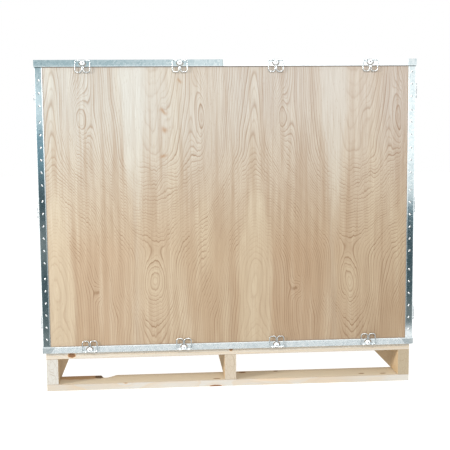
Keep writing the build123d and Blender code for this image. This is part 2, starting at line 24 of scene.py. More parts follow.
# ------------------------------------------------------------- node tree helpers
class Tree:
    def __init__(self, name):
        self.mat = bpy.data.materials.new(name)
        self.mat.use_nodes = True
        self.nt = self.mat.node_tree
        self.nt.nodes.clear()
        self.out = self.nt.nodes.new("ShaderNodeOutputMaterial")
        self.bsdf = self.nt.nodes.new("ShaderNodeBsdfPrincipled")
        self.link(self.bsdf.outputs["BSDF"], self.out.inputs["Surface"])
        self.obj = self.nt.nodes.new("ShaderNodeTexCoord").outputs["Object"]
        sep = self.nt.nodes.new("ShaderNodeSeparateXYZ")
        self.link(self.obj, sep.inputs[0])
        self.x, self.y, self.z = sep.outputs

    def link(self, a, b):
        self.nt.links.new(a, b)

    def put(self, socket, value):
        if isinstance(value, bpy.types.NodeSocket):
            self.link(value, socket)
        else:
            socket.default_value = value

    def math(self, op, a, b=0.0, c=0.0, clamp=False):
        n = self.nt.nodes.new("ShaderNodeMath")
        n.operation = op
        n.use_clamp = clamp
        self.put(n.inputs[0], a)
        self.put(n.inputs[1], b)
        if len(n.inputs) > 2:
            self.put(n.inputs[2], c)
        return n.outputs[0]

    def add(self, a, b): return self.math("ADD", a, b)
    def sub(self, a, b): return self.math("SUBTRACT", a, b)
    def mul(self, a, b): return self.math("MULTIPLY", a, b)
    def mad(self, a, b, c): return self.math("MULTIPLY_ADD", a, b, c)

    def step(self, value, lo, hi, a=0.0, b=1.0):
        """Smooth step from a at lo to b at hi."""
        n = self.nt.nodes.new("ShaderNodeMapRange")
        n.interpolation_type = "SMOOTHSTEP"
        self.put(n.inputs["Value"], value)
        n.inputs["From Min"].default_value = lo
        n.inputs["From Max"].default_value = hi
        n.inputs["To Min"].default_value = a
        n.inputs["To Max"].default_value = b
        return n.outputs["Result"]

    def vec(self, x, y, z):
        n = self.nt.nodes.new("ShaderNodeCombineXYZ")
        for s, v in zip(n.inputs, (x, y, z)):
            self.put(s, v)
        return n.outputs[0]

    def noise(self, vector, scale, detail=2.0, rough=0.5, distort=0.0, colour=False):
        n = self.nt.nodes.new("ShaderNodeTexNoise")
        self.put(n.inputs["Vector"], vector)
        n.inputs["Scale"].default_value = scale
        n.inputs["Detail"].default_value = detail
        n.inputs["Roughness"].default_value = rough
        n.inputs["Distortion"].default_value = distort
        return n.outputs["Color" if colour else "Fac"]

    def voronoi(self, vector, scale, feature="F1", out="Distance", rand=1.0):
        n = self.nt.nodes.new("ShaderNodeTexVoronoi")
        n.feature = feature
        self.put(n.inputs["Vector"], vector)
        n.inputs["Scale"].default_value = scale
        n.inputs["Randomness"].default_value = rand
        return n.outputs[out]

    def ramp(self, fac, stops, mode="EASE"):
        n = self.nt.nodes.new("ShaderNodeValToRGB")
        n.color_ramp.interpolation = mode
        els = n.color_ramp.elements
        while len(els) < len(stops):
            els.new(0.5)
        for e, (p, c) in zip(els, stops):
            e.position = p
            e.color = (*c, 1.0) if len(c) == 3 else c
        self.put(n.inputs["Fac"], fac)
        return n.outputs["Color"]

    def mix(self, fac, a, b, how="MIX"):
        n = self.nt.nodes.new("ShaderNodeMix")
        n.data_type = "RGBA"
        n.blend_type = how
        ins = [s for s in n.inputs if s.enabled]
        self.put(ins[0], fac)
        for s, v in zip(ins[1:], (a, b)):
            if isinstance(v, bpy.types.NodeSocket):
                self.link(v, s)
            else:
                s.default_value = (*v, 1.0)
        return [s for s in n.outputs if s.enabled][0]

    def grey(self, colour):
        n = self.nt.nodes.new("ShaderNodeRGBToBW")
        self.link(colour, n.inputs[0])
        return n.outputs[0]

    def bump(self, height, strength, distance, normal=None):
        n = self.nt.nodes.new("ShaderNodeBump")
        n.inputs["Strength"].default_value = strength
        n.inputs["Distance"].default_value = distance
        self.put(n.inputs["Height"], height)
        if normal is not None:
            self.link(normal, n.inputs["Normal"])
        return n.outputs["Normal"]

    def finish(self, colour, rough, normal, metallic=0.0):
        self.put(self.bsdf.inputs["Base Color"], colour)
        self.put(self.bsdf.inputs["Roughness"], rough)
        self.link(normal, self.bsdf.inputs["Normal"])
        self.bsdf.inputs["Metallic"].default_value = metallic
        return self.mat


# ------------------------------------------------------------------------ plywood
PEEL = 652.0               # veneer peeled off in one turn of the log, mm


def plywood(name, u, v, shift=0.0, lift=0.0, seed=0.0, tone=1.0, darkening=None, side_falloff=None):
    """Rotary-cut hardwood veneer.  The veneer was peeled round a log, so the figure
    repeats every turn.  field counts the growth rings that the knife met; its
    contour lines are the grain."""
    t = Tree(name)
    X = t.mad({"x": t.x, "y": t.y}[u], 1000.0, shift)
    Z = t.mad({"z": t.z, "y": t.y, "x": t.x}[v], 1000.0, lift)

    def wave(sx, sz, amp, k, detail=1.0):
        n = t.noise(t.vec(t.mul(X, sx), t.mul(Z, sz), seed + k), 1.0, detail)
        return t.mul(t.sub(n, 0.5), 2.0 * amp)

    x = t.add(X, t.add(wave(0.0050, 0.0035, 17.0, 0.0), wave(0.017, 0.009, 5.5, 3.1)))
    z = t.add(Z, t.add(wave(0.040, 0.0050, 20.0, 6.2, 2.0), wave(0.150, 0.0120, 4.5, 9.3)))
    z = t.add(z, wave(0.0070, 0.0060, 22.0, 12.4))
    phi = t.mul(t.sub(x, 85.0), PI2 / PEEL)
    C = t.math("COSINE", phi)
    half = t.mul(t.sub(1.0, C), 0.5)
    sharp = t.math("SQRT", t.add(half, 0.006))

    def ridge(cx, w):
        kappa = (PEEL / PI2 / w) ** 2
        d = t.math("COSINE", t.mul(t.sub(x, cx), PI2 / PEEL))
        return t.math("EXPONENT", t.mul(t.sub(d, 1.0), kappa))

    def hill(cx, cz, w, h, amp):
        d = t.mul(t.sub(z, cz), 1.0 / h)
        g = t.math("EXPONENT", t.mul(t.mul(d, d), -1.0))
        return t.mul(t.mul(ridge(cx, w), g), amp)

    def lin(value, a, b, p, q):
        n = t.nt.nodes.new("ShaderNodeMapRange")
        t.put(n.inputs["Value"], value)
        for key, val in zip(("From Min", "From Max", "To Min", "To Max"), (a, b, p, q)):
            n.inputs[key].default_value = val
        return n.outputs["Result"]

    field = t.add(t.mul(z, 1.0 / 95.0), t.step(z, 400.0, 800.0, 0.0, 24.0))
    field = t.mad(sharp, 14.0, field)
    field = t.mad(half, 19.0, field)
    for cx, cz, w, h, amp in ((-489.0, 890.0, 26.0, 100.0, 9.0),
                              (-82.0, 880.0, 23.0, 150.0, 8.6),
                              (-60.0, 470.0, 30.0, 150.0, 4.5),
                              (-253.0, 345.0, 46.0, 110.0, 9.0),
                              (-424.0, 333.0, 17.0, 30.0, -4.4),
                              (-424.0, 620.0, 34.0, 70.0, -3.6),
                              (-211.0, 890.0, 14.0, 60.0, -1.2),
                              (-205.0, 690.0, 16.0, 36.0, -2.6),
                              (-330.0, 240.0, 36.0, 60.0, -2.4),
                              (-70.0, 240.0, 30.0, 90.0, -2.2),
                              (85.0, 240.0, 34.0, 60.0, 2.0)):
        field = t.add(field, hill(cx, cz, w, h, amp))
    number = t.math("FLOOR", field)
    ring = t.math("FRACT", field)
    lucky = t.nt.nodes.new("ShaderNodeTexWhiteNoise")
    lucky.noise_dimensions = "1D"
    t.link(t.add(number, seed * 3.0), lucky.inputs["W"])
    # early wood pale, late wood a brown line, sharp on one side and soft on the other
    line = t.grey(t.ramp(ring, [(0.0, (1, 1, 1)), (0.08, (0.90, 0.90, 0.90)),
                                (0.19, (0.36, 0.36, 0.36)), (0.36, (0.10, 0.10, 0.10)),
                                (0.60, (0.0, 0.0, 0.0)), (0.88, (0.05, 0.05, 0.05)),
                                (0.95, (0.40, 0.40, 0.40)), (1.0, (1, 1, 1))], "LINEAR"))
    line = t.mul(line, t.mad(lucky.outputs["Value"], 0.86, 0.30))
    broken = t.noise(t.vec(t.mul(X, 0.03), seed + 2.0, t.mul(Z, 0.008)), 1.0, 2.0)
    line = t.mul(line, t.step(broken, 0.30, 0.62, 0.45, 1.0))
    ring2 = t.math("FRACT", t.mad(wave(0.05, 0.004, 0.10, 21.0), 1.0, t.mul(field, 2.0)))
    line2 = t.step(t.math("PINGPONG", ring2, 0.5), 0.0, 0.19, 1.0, 0.0)
    fray = t.mul(t.sub(t.noise(t.vec(t.mul(X, 0.09), seed + 5.0, t.mul(Z, 0.006)), 1.0, 2.0), 0.5), 0.12)
    sap1 = t.step(t.mad(ridge(-304.0, 62.0), lin(z, 550.0, 1000.0, 0.70, 0.89), fray), 0.65, 0.78)
    sap2 = t.step(t.mad(ridge(85.0, 60.0), lin(z, 685.0, 440.0, 0.60, 0.92), fray), 0.54, 0.70)
    fade = t.math("MULTIPLY", t.mad(sap1, -0.78, 1.0), t.mad(sap2, -0.72, 1.0))
    # few rings show where the knife ran along them
    quiet = t.mul(ridge(-250.0, 46.0), t.step(z, 690.0, 790.0, 0.0, 0.70))
    fade = t.mul(fade, t.sub(1.0, quiet))
    line = t.mul(line, fade)
    line2 = t.mul(line2, fade)
    # body colour: broad clouds, upright fibre streaks
    cloud = t.noise(t.vec(t.mul(X, 0.0032), seed + 7.0, t.mul(Z, 0.0016)), 1.0, 3.0, 0.55)
    streak = t.noise(t.vec(t.mul(X, 0.060), seed + 1.0, t.mul(Z, 0.0022)), 1.0, 3.0, 0.6)
    fibre = t.noise(t.vec(t.mul(X, 0.40), seed + 3.0, t.mul(Z, 0.0095)), 1.0, 2.0, 0.6)
    low = t.step(Z, 940.0, 380.0)
    c = lambda r, g, b: (r * tone, g * tone, b * tone)
    base = t.mix(low, c(0.640, 0.560, 0.465), c(0.560, 0.415, 0.280))
    base = t.mix(t.step(cloud, 0.40, 0.64, 0.0, 0.45), base, c(0.700, 0.590, 0.455))
    red = t.mul(ridge(-424.0, 95.0), t.step(Z, 560.0, 440.0, 0.0, 0.55))
    base = t.mix(red, base, c(0.520, 0.350, 0.225))
    base = t.mix(t.mul(t.step(streak, 0.44, 0.70), t.step(Z, 1000.0, 700.0, 0.48, 0.70)), base, c(0.470, 0.335, 0.225))
    base = t.mix(t.step(streak, 0.50, 0.28, 0.0, 0.35), base, c(0.760, 0.660, 0.520))
    # sapwood: pale streaks that end in a point, with faint rings
    base = t.mix(t.mul(sap1, 0.46), base, c(0.735, 0.690, 0.600))
    base = t.mix(t.mul(sap2, 0.42), base, c(0.725, 0.620, 0.465))
    for cx, cz, w, h, k in ((-82.0, 500.0, 22.0, 120.0, 0.50), (-253.0, 370.0, 38.0, 95.0, 0.40),
                            (-15.0, 250.0, 12.0, 200.0, 0.40), (-175.0, 640.0, 14.0, 500.0, 0.35)):
        base = t.mix(hill(cx, cz, w, h, k), base, c(0.740, 0.630, 0.470))
    base = t.mix(t.mul(line, t.step(Z, 1000.0, 700.0, 0.82, 0.98)), base, (0.310, 0.180, 0.100))
    base = t.mix(t.mul(line2, 0.34), base, (0.390, 0.250, 0.155))
    base = t.mix(t.step(fibre, 0.34, 0.70, 0.26, 0.0), base, (0.400, 0.270, 0.170))
    for cx, cz, w, h in ((-210.0, 907.0, 11.0, 6.0), (-207.0, 854.0, 9.0, 9.0), (-208.0, 768.0, 10.0, 5.0), (-160.0, 1004.0, 6.0, 5.0)):
        a, b = t.mul(t.sub(x, cx), 1.0 / w), t.mul(t.sub(z, cz), 1.0 / h)
        pin = t.math("EXPONENT", t.mul(t.add(t.mul(a, a), t.mul(b, b)), -1.0))
        base = t.mix(t.mul(pin, 0.78), base, (0.430, 0.240, 0.120))
    fleck = t.voronoi(t.vec(t.mul(X, 0.20), seed, t.mul(Z, 0.035)), 1.0)
    base = t.mix(t.step(fleck, 0.20, 0.08, 0.0, 0.30), base, (0.340, 0.210, 0.125))
    # handling marks
    scuff = t.noise(t.vec(t.mul(X, 0.014), seed + 8.0, t.mul(Z, 0.014)), 1.0, 6.0, 0.7)
    base = t.mix(t.step(scuff, 0.62, 0.78, 0.0, 0.14), base, (0.45, 0.36, 0.28))
    # painted light: the sheet is painted paler and cooler at the top, a painted sheen, and warmer towards the foot; on
    # the front panel it is also painted darker towards the right, a painted light falloff
    across = lin(X, -593.0, 593.0, 0.0, 1.0) if side_falloff else None
    top_to_foot = t.step(Z, 1060.0, 430.0)
    if side_falloff:
        top = t.mix(across, (0.722, 0.815, 0.905), (0.660, 0.675, 0.715))
        foot = t.mix(across, (0.730, 0.745, 0.730), (0.600, 0.580, 0.530))
    else:
        top, foot = (0.82, 0.85, 0.88), (0.77, 0.75, 0.71)
    base = t.mix(1.0, base, t.mix(top_to_foot, top, foot), "MULTIPLY")
    if darkening:
        # painted shade, with dust and rub marks, where the sheet goes under the metal edging
        lo_x, hi_x, lo_z, hi_z = darkening
        e = t.math("MINIMUM", t.math("MINIMUM", t.sub(X, lo_x), t.sub(hi_x, X)),
                   t.math("MINIMUM", t.sub(Z, lo_z), t.sub(hi_z, Z)))
        smear = t.noise(t.vec(t.mul(X, 0.02), seed, t.mul(Z, 0.02)), 1.0, 3.0)
        # only the outer face is darkened: painted near-black shade behind the uprights, seen through their slots,
        # and a painted shadow line just under the lid's flange
        depth = t.math("ABSOLUTE", t.y if u == "x" else t.x)
        outer = t.step(depth, 0.5140, 0.5150) if u == "x" else t.step(depth, 0.6155, 0.6165)
        shade_and_rub_zone = t.mul(outer, t.step(e, -3.0, -1.0))
        # painted shade along the inner edge of the edging, partly dust
        base = t.mix(t.mul(shade_and_rub_zone, t.step(e, 3.2, 0.4, 0.0, 0.62)), base, (0.200, 0.150, 0.110))
        # painted shade: near black where the uprights cover the sheet
        behind = t.math("MINIMUM", t.sub(X, lo_x), t.sub(hi_x, X))
        base = t.mix(t.mul(outer, t.step(behind, -0.5, -3.0, 0.0, 0.85)), base, (0.040, 0.034, 0.030))
        # painted shadow line just under the lid's flange
        under = t.sub(hi_z, Z)
        line_top = t.mul(t.step(under, 3.8, 2.2, 0.0, 0.78), t.step(under, -2.0, -0.6))
        base = t.mix(t.mul(outer, line_top), base, (0.110, 0.102, 0.096))
        base = t.mix(t.mul(shade_and_rub_zone, t.mul(t.step(e, 16.0, 0.0, 0.0, 0.30), smear)), base, (0.330, 0.240, 0.170))
    rough = t.mad(fibre, 0.16, t.mad(line, -0.08, 0.50))
    height = t.add(t.mul(fibre, 0.6), t.mad(line, -0.5, t.mul(streak, 0.4)))
    n = t.bump(height, 0.30, 0.0004)
    t.bsdf.inputs["Specular IOR Level"].default_value = 0.30
    return t.finish(base, rough, n)


# --------------------------------------------------------------------- pallet wood
def pine(name, along, seed, knots=(), tone=(1.0, 1.0, 1.0), butts=((0.690, 0.655, 0.585), (0.520, 0.465, 0.380)), bark=None):
    """Sawn softwood.  along is the axis the board runs in; knots are
    (x, y, z, length, width) in the row's own frame."""
    t = Tree(name)
    L = {"x": t.x, "y": t.y}[along]
    W = {"x": t.y, "y": t.x}[along]
    H = t.z
    # each board is sawn from somewhere near the pith of its own log
    wob = t.noise(t.vec(t.mul(L, 0.9), seed, 0.0), 1.6, 2.0, colour=True)
    sep = t.nt.nodes.new("ShaderNodeSeparateXYZ")
    t.link(wob, sep.inputs[0])
    cw = t.mad(sep.outputs[0], 0.030, 0.045 * math.sin(seed * 7.3) + 0.02)
    ch = t.mad(sep.outputs[1], 0.024, -0.05 - 0.03 * math.cos(seed * 3.1))
    dw, dh = t.add(W, cw), t.sub(H, ch)
    r = t.math("SQRT", t.add(t.mul(dw, dw), t.mul(dh, dh)))
    r = t.mad(t.sub(t.noise(t.vec(t.mul(L, 0.5), W, H), 14.0, 2.0), 0.5), 0.006, r)
    # the grain bends round each knot
    kmask = None
    for (kx, ky, kz, kl, kw) in knots:
        k0 = {"x": kx, "y": ky}[along]
        k1 = {"x": ky, "y": kx}[along]
        a = t.mul(t.sub(L, k0), 1.0 / kl)
        b = t.mul(t.sub(W, k1), 1.0 / kw)
        h = t.mul(t.sub(H, kz), 1.0 / (kw * 1.3))
        d = t.add(t.mul(a, a), t.add(t.mul(b, b), t.mul(h, h)))
        g = t.math("EXPONENT", t.mul(d, -0.30))
        r = t.mad(g, 0.0065, r)
        m = t.step(t.mad(t.sub(t.noise(t.obj, 260.0, 2.0), 0.5), 0.7, d), 1.25, 0.55)
        kmask = m if kmask is None else t.math("MAXIMUM", kmask, m)
    ring = t.math("FRACT", t.mul(r, 1.0 / 0.0042))
    late = t.grey(t.ramp(ring, [(0.0, (0.0,) * 3), (0.45, (0.10,) * 3), (0.80, (0.62,) * 3),
                                (0.93, (1.0,) * 3), (1.0, (0.0,) * 3)], "LINEAR"))
    fib = t.noise(t.vec(t.mul(L, 0.035), W, H), 330.0, 3.0, 0.6)
    cloud = t.noise(t.vec(t.mul(L, 0.25), W, t.add(H, seed)), 7.0, 3.0)
    base = t.ramp(cloud, [(0.30, (0.620 * tone[0], 0.520 * tone[1], 0.385 * tone[2])),
                          (0.55, (0.680 * tone[0], 0.605 * tone[1], 0.480 * tone[2])),
                          (0.75, (0.725 * tone[0], 0.665 * tone[1], 0.550 * tone[2]))])
    base = t.mix(t.mul(late, 0.40), base, (0.500, 0.355, 0.205))
    base = t.mix(t.step(fib, 0.30, 0.75, 0.22, 0.0), base, (0.62, 0.45, 0.27))
    # band-saw marks across the board, dust and scrapes
    saw = t.math("SINE", t.mul(t.mad(t.noise(t.obj, 25.0, 2.0), 0.006, L), PI2 / 0.0056))
    dirt = t.noise(t.vec(t.mul(L, 0.4), W, H), 38.0, 5.0, 0.65)
    base = t.mix(t.step(dirt, 0.60, 0.78, 0.0, 0.24), base, (0.50, 0.40, 0.29))
    # resin-dark patches
    resin = t.noise(t.vec(t.mul(L, 0.16), W, t.add(H, seed * 2.0)), 12.0, 2.0)
    base = t.mix(t.step(resin, 0.66, 0.78, 0.0, 0.5), base, (0.66, 0.42, 0.19))
    # painted light: on the boards, faces pointing up or down are painted paler than the edges
    tc = t.nt.nodes.new("ShaderNodeTexCoord")
    ns = t.nt.nodes.new("ShaderNodeSeparateXYZ")
    t.link(tc.outputs["Normal"], ns.inputs[0])
    flat = t.step(t.math("ABSOLUTE", ns.outputs[2]), 0.70, 0.90)
    if along == "x":
        base = t.mix(t.mul(flat, 0.88), base, (0.940, 0.850, 0.700))
    else:
        # the stringers' sides are rough sawn and are painted browner and darker, partly painted shade
        side = t.step(t.math("ABSOLUTE", ns.outputs[0]), 0.70, 0.90)
        base = t.mix(t.mul(side, 0.75), base, (0.500, 0.345, 0.185))
    if kmask is not None:
        base = t.mix(t.step(kmask, 0.02, 0.6, 0.0, 0.80), base, (0.56, 0.31, 0.13))
        base = t.mix(t.step(kmask, 0.60, 1.0, 0.0, 0.85), base, (0.150, 0.065, 0.028))
    if bark:
        bx, by, bl, bw = bark
        a = t.mul(t.sub(t.x, bx), 1.0 / bl)
        b = t.mul(t.sub(t.y, by), 1.0 / bw)
        d = t.mad(t.sub(t.noise(t.obj, 190.0, 3.0), 0.5), 0.9, t.add(t.mul(a, a), t.mul(b, b)))
        # painted shade, warm brown, on the board's top beside the wane near the left stringer
        a = t.mul(t.sub(t.x, bx - 0.075), 1.0 / 0.095)
        b = t.mul(t.sub(t.y, by - 0.004), 1.0 / 0.030)
        shade_patch = t.mad(t.sub(t.noise(t.obj, 60.0, 3.0), 0.5), 0.8, t.add(t.mul(a, a), t.mul(b, b)))
        base = t.mix(t.step(shade_patch, 1.20, 0.30, 0.0, 0.80), base, (0.520, 0.270, 0.100))
        # painted light: the up-facing top of this board is painted brighter
        up = t.step(ns.outputs[2], 0.60, 0.85)
        base = t.mix(up, base, t.mix(1.0, base, (1.17, 1.18, 1.12), "MULTIPLY"))
        base = t.mix(t.step(d, 1.25, 0.80, 0.0, 0.96), base, (0.025, 0.012, 0.006))
    # cut ends: greyer, with open pores and short checks
    end = t.step(t.math("ABSOLUTE", ns.outputs[{"x": 0, "y": 1}[along]]), 0.70, 0.90)
    pores = t.noise(t.obj, 620.0, 2.0, 0.7)
    butt = t.mix(t.step(pores, 0.35, 0.68, 0.0, 0.45), *butts)
    butt = t.mix(t.mul(late, 0.30), butt, (0.430, 0.345, 0.240))
    check = t.voronoi(t.vec(t.mul(W, 1.0), t.mul(H, 0.45), seed), 95.0, "DISTANCE_TO_EDGE")
    butt = t.mix(t.step(check, 0.035, 0.010, 0.0, 0.50), butt, (0.260, 0.180, 0.110))
    base = t.mix(end, base, butt)
    # grime where boards and stringers meet
    for zj in (0.022, 0.108):
        gap = t.math("ABSOLUTE", t.sub(H, zj))
        base = t.mix(t.step(gap, 0.0016, 0.0004, 0.0, 0.55), base, (0.250, 0.170, 0.100))
    rough = t.mad(fib, 0.18, t.mad(dirt, 0.12, 0.55))
    height = t.add(t.mul(fib, 0.7), t.mad(saw, 0.16, t.mul(late, 0.35)))
    t.bsdf.inputs["Specular IOR Level"].default_value = 0.25
    return t.finish(base, rough, t.bump(height, 0.55, 0.0006))


# ------------------------------------------------------------------ zinc and steel
def galvanised(name, along="x", new=0.0, hems=(), rim=None):
    """new 0: smooth weathered sheet that mirrors its surroundings softly;
    new 1: bright chalky sheet with a fine spangle."""
    t = Tree(name)
    L = {"x": t.x, "y": t.y, "z": t.z}[along]
    cell = t.voronoi(t.obj, 150.0, "F1", "Color")
    g = t.grey(cell)
    fine = t.noise(t.obj, 260.0, 3.0, 0.6)
    cloud = t.noise(t.obj, 13.0, 3.0, 0.6)
    s = {"x": (0.03, 1, 1), "y": (1, 0.03, 1), "z": (1, 1, 0.03)}[along]
    roll = t.noise(t.vec(t.mul(t.x, s[0]), t.mul(t.y, s[1]), t.mul(t.z, s[2])), 480.0, 3.0, 0.6)
    lo, mid, hi = [(a + (b - a) * new, c + (d - c) * new, e + (f - e) * new) for a, b, c, d, e, f in
                   ((0.64, 0.78, 0.72, 0.83, 0.745, 0.85), (0.73, 0.86, 0.80, 0.90, 0.82, 0.91),
                    (0.82, 0.92, 0.87, 0.94, 0.88, 0.945))]
    base = t.ramp(g, [(0.15, lo), (0.50, mid), (0.85, hi)])
    base = t.mix(t.step(cloud, 0.42, 0.70, 0.0, 0.22), base, hi)
    base = t.mix(t.step(roll, 0.52, 0.74, 0.0, 0.28), base, tuple(0.75 * k for k in lo))
    # white rust and grime in small patches
    rust = t.noise(t.obj, 52.0, 5.0, 0.72)
    base = t.mix(t.step(rust, 0.64, 0.80, 0.0, 0.30), base, (0.84, 0.87, 0.87))
    darkening = t.noise(t.obj, 75.0, 4.0, 0.7)
    base = t.mix(t.step(darkening, 0.62, 0.80, 0.0, 0.25), base, (0.20, 0.22, 0.21))
    tc = t.nt.nodes.new("ShaderNodeTexCoord")
    ns = t.nt.nodes.new("ShaderNodeSeparateXYZ")
    t.link(tc.outputs["Normal"], ns.inputs[0])
    ax, ay, az = [t.math("ABSOLUTE", o) for o in ns.outputs]
    # painted highlight: faces whose normal is tilted from the axes (bends, ridges, bosses) are marked for a pale
    # colour
    glint_and_bloom = t.step(t.math("MAXIMUM", ax, t.math("MAXIMUM", ay, az)), *((0.9990, 0.975) if rim else (0.985, 0.93)))
    # painted highlight lines along the hems
    for hem in hems:
        d = t.math("ABSOLUTE", t.sub(t.z, hem))
        glint_and_bloom = t.math("MAXIMUM", glint_and_bloom, t.step(d, 0.0019, 0.0014, 0.0, 0.45 if hem < 0.5 else 0.22))
    if rim:
        # painted highlight: the folded inner edge and the bend at the corner are painted bright
        axis, inner, outer = rim
        a = t.math("ABSOLUTE", {"x": t.x, "y": t.y}[axis])
        fold = t.step(t.math("ABSOLUTE", t.sub(a, inner)), 0.0019, 0.0012)
        glint_and_bloom = t.math("MAXIMUM", glint_and_bloom, t.mul(fold, t.step(t.z, 0.45, 0.92, 0.22, 0.85)))
        glint_and_bloom = t.math("MAXIMUM", glint_and_bloom, t.step(a, outer - 0.0030, outer, 0.0, 0.75))
        # white bloom near the foot, where water stands
        bloom = t.mul(t.step(t.z, 0.215, 0.165), t.step(cloud, 0.36, 0.60, 0.10, 0.70))
        bloom = t.mul(bloom, t.step(t.x, -0.1, 0.1, 0.25, 1.0))
        glint_and_bloom = t.math("MAXIMUM", glint_and_bloom, bloom)
    # painted highlight on the marked faces, together with the white bloom
    base = t.mix(t.mul(glint_and_bloom, 0.85), base, (0.90, 0.925, 0.93))
    # painted shadow: the top of the upright, under the lid's flange, is painted dark
    if rim:
        base = t.mix(t.step(t.z, 1.0560, 1.0578, 0.0, 0.70), base, (0.10, 0.115, 0.115))
    if hems:
        # painted shade: a dark disc for the small pierced hole in each boss, and a dark ring with some dust in the
        # crease round it
        a = t.math("ABSOLUTE", L)
        if along == "x":
            u = t.math("MINIMUM", t.math("ABSOLUTE", t.sub(a, 0.155)), t.math("ABSOLUTE", t.sub(a, 0.465)))
        else:
            u = t.math("MINIMUM", a, t.math("ABSOLUTE", t.sub(a, 0.310)))
        v = t.math("MINIMUM", t.math("ABSOLUTE", t.sub(t.z, 1.0727)), t.math("ABSOLUTE", t.sub(t.z, 0.1393)))
        r = t.math("SQRT", t.add(t.mul(u, u), t.mul(v, v)))
        crease = t.step(t.math("ABSOLUTE", t.sub(r, 0.0094)), 0.0016, 0.0007, 0.0, 0.55)
        base = t.mix(crease, base, (0.10, 0.115, 0.115))
        base = t.mix(t.step(r, 0.0026, 0.0016, 0.0, 0.90), base, (0.030, 0.033, 0.033))
    rough = t.mad(g, 0.03, t.mad(cloud, 0.05, t.mad(rust, 0.04, 0.01 + 0.28 * new)))
    rough = t.mad(glint_and_bloom, 0.22, rough)
    height = t.add(t.mul(g, 0.35), t.add(t.mul(roll, 0.30), t.mul(fine, 0.20)))
    m = t.finish(base, rough, t.bump(height, 0.10, 0.0004))
    t.put(t.bsdf.inputs["Metallic"], t.mad(glint_and_bloom, -0.80 + 0.62 * new, 0.98 - 0.58 * new))
    return m


def zinc_wire(name):
    t = Tree(name)
    fine = t.noise(t.obj, 900.0, 3.0, 0.6)
    cloud = t.noise(t.obj, 120.0, 3.0, 0.6)
    base = t.ramp(cloud, [(0.30, (0.60, 0.635, 0.645)), (0.55, (0.76, 0.785, 0.79)),
                          (0.75, (0.86, 0.875, 0.88))])
    base = t.mix(t.step(fine, 0.60, 0.76, 0.0, 0.4), base, (0.42, 0.43, 0.42))
    return t.finish(base, t.mad(cloud, 0.22, t.mad(fine, 0.12, 0.14)),
                    t.bump(fine, 0.25, 0.0002), 0.85)


def nail_steel(name):
    t = Tree(name)
    fine = t.noise(t.obj, 700.0, 4.0, 0.65)
    rust = t.noise(t.obj, 90.0, 4.0, 0.6)
    base = t.ramp(fine, [(0.3, (0.30, 0.30, 0.31)), (0.7, (0.52, 0.52, 0.53))])
    base = t.mix(t.step(rust, 0.55, 0.75, 0.0, 0.5), base, (0.33, 0.19, 0.11))
    return t.finish(base, t.mad(rust, 0.3, 0.30), t.bump(fine, 0.4, 0.0003), 0.8)


# -------------------------------------------------------------- assign materials
def give(node, mat, slot):
    o = nodes[node]
    o.data.materials.clear()
    o.data.materials.append(mat)
    for p in o.data.polygons:
        p.material_index = 0


PLY_SET = {
    "front_panel": ("x", "z", 0.0, 0.0, 0.0),
    "back_panel": ("x", "z", 371.0, 60.0, 3.7),
    "left_panel": ("y", "z", 212.0, -45.0, 6.1),
    "right_panel": ("y", "z", 553.0, 85.0, 9.4),
    "lid_panel": ("x", "y", 133.0, 520.0, 12.8),
    "base_floor_panel": ("x", "y", 442.0, 470.0, 15.2),
}
for n, (u, v, sh, lf, seed) in PLY_SET.items():
    rim = None
    if u == "x" and v == "z":
        rim = (-592.6 + sh, 592.6 + sh, 151.8 + lf, 1060.2 + lf)
    elif u == "y":
        rim = (-470.0 + sh, 470.0 + sh, 151.8 + lf, 1060.2 + lf)
    give(n, plywood("plywood_" + n, u, v, sh, lf, seed, 1.0, rim, n == "front_panel"), "plywood")

FRONT_BOTTOM_KNOTS = ((-0.438, -0.430, 0.022, 0.017, 0.012), (-0.350, -0.511, 0.022, 0.011, 0.004),
                      (-0.045, -0.492, 0.022, 0.014, 0.005), (-0.050, -0.508, 0.001, 0.022, 0.004),
                      (0.046, -0.426, 0.022, 0.014, 0.009), (0.163, -0.422, 0.022, 0.009, 0.006),
                      (0.452, -0.482, 0.022, 0.011, 0.005), (0.525, -0.488, 0.022, 0.011, 0.005))
DECK_1_KNOTS = ((-0.526, -0.508, 0.1195, 0.014, 0.0065), (0.002, -0.508, 0.128, 0.007, 0.007))
board_knots = {
    "pallet_bottom_board_front": FRONT_BOTTOM_KNOTS,
    "pallet_bottom_board_middle": ((-0.30, 0.02, 0.022, 0.013, 0.009), (0.41, -0.015, 0.0, 0.015, 0.010)),
    "pallet_bottom_board_back": ((0.25, 0.47, 0.022, 0.014, 0.009), (-0.36, 0.50, 0.011, 0.013, 0.009)),
    "pallet_deck_board_1": DECK_1_KNOTS,
    "pallet_deck_board_3": ((0.20, -0.15, 0.108, 0.015, 0.010),),
    "pallet_deck_board_4": ((-0.33, 0.01, 0.108, 0.014, 0.010),),
    "pallet_deck_board_7": ((0.31, 0.508, 0.118, 0.014, 0.008), (-0.22, 0.45, 0.108, 0.013, 0.010)),
}
for i, tag in enumerate(("front", "middle", "back")):
    n = "pallet_bottom_board_" + tag
    give(n, pine("pine_" + n, "x", 1.3 + 2.17 * i, board_knots.get(n, ()), (0.73, 0.81, 0.96), bark=(-0.4420, -0.4260, 0.0160, 0.0220) if tag == "front" else None), "pallet_wood")
for i in range(1, 8):
    n = "pallet_deck_board_%d" % i
    give(n, pine("pine_" + n, "x", 9.1 + 1.37 * i, board_knots.get(n, ()), (0.75, 0.78, 0.85)), "pallet_wood")
for i, tag in enumerate(("left", "centre", "right")):
    n = "pallet_stringer_" + tag
    butts = {"left": ((0.515, 0.505, 0.470), (0.380, 0.360, 0.315)),
             "centre": ((0.485, 0.420, 0.335), (0.365, 0.295, 0.210)),
             "right": ((0.385, 0.320, 0.225), (0.250, 0.190, 0.115))}[tag]
    give(n, pine("pine_" + n, "y", 23.0 + 1.9 * i,
                 ((0.6095, -0.508, 0.057, 0.012, 0.009),) if tag == "right" else (),
                 (1.0, 0.97, 0.92), butts), "pallet_wood")

